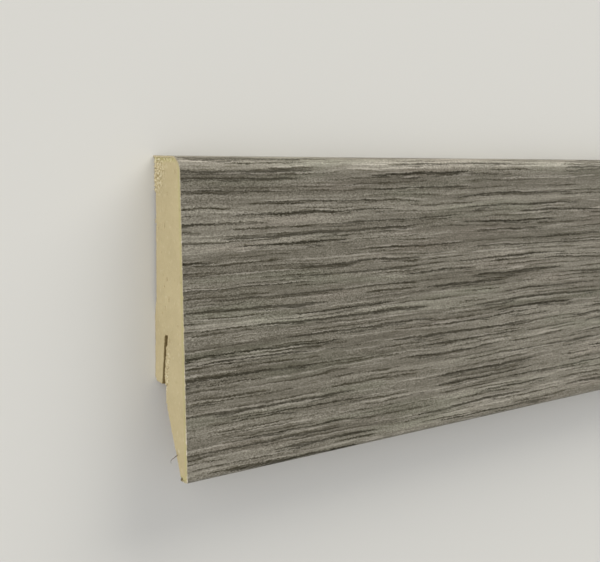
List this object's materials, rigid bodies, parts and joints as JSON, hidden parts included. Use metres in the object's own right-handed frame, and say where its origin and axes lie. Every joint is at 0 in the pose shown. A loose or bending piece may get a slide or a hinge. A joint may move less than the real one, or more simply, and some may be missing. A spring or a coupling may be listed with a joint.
{
  "type": "skirting board length",
  "caption": "Long skirting board with a rounded top nose, a slim toe, and a clip slot and shallow hollow in its flat back, wrapped in a wood-grain foil.",
  "frame": {"origin": "middle of the board's length and height, on the plane that meets the wall", "axes": "the board lies on its back: +X along its length, +Y towards the edge that is uppermost on a wall, +Z out of the face that shows"},
  "size_m": [2.4, 0.058, 0.012],
  "materials": {
    "mdf": "sawn and moulded fibreboard, matt",
    "decor_foil": "printed grey oak, low sheen"
  },
  "bodies": {
    "root": {"mdf_core": "mdf", "decor_foil": "decor_foil"}
  },
  "joints": []
}
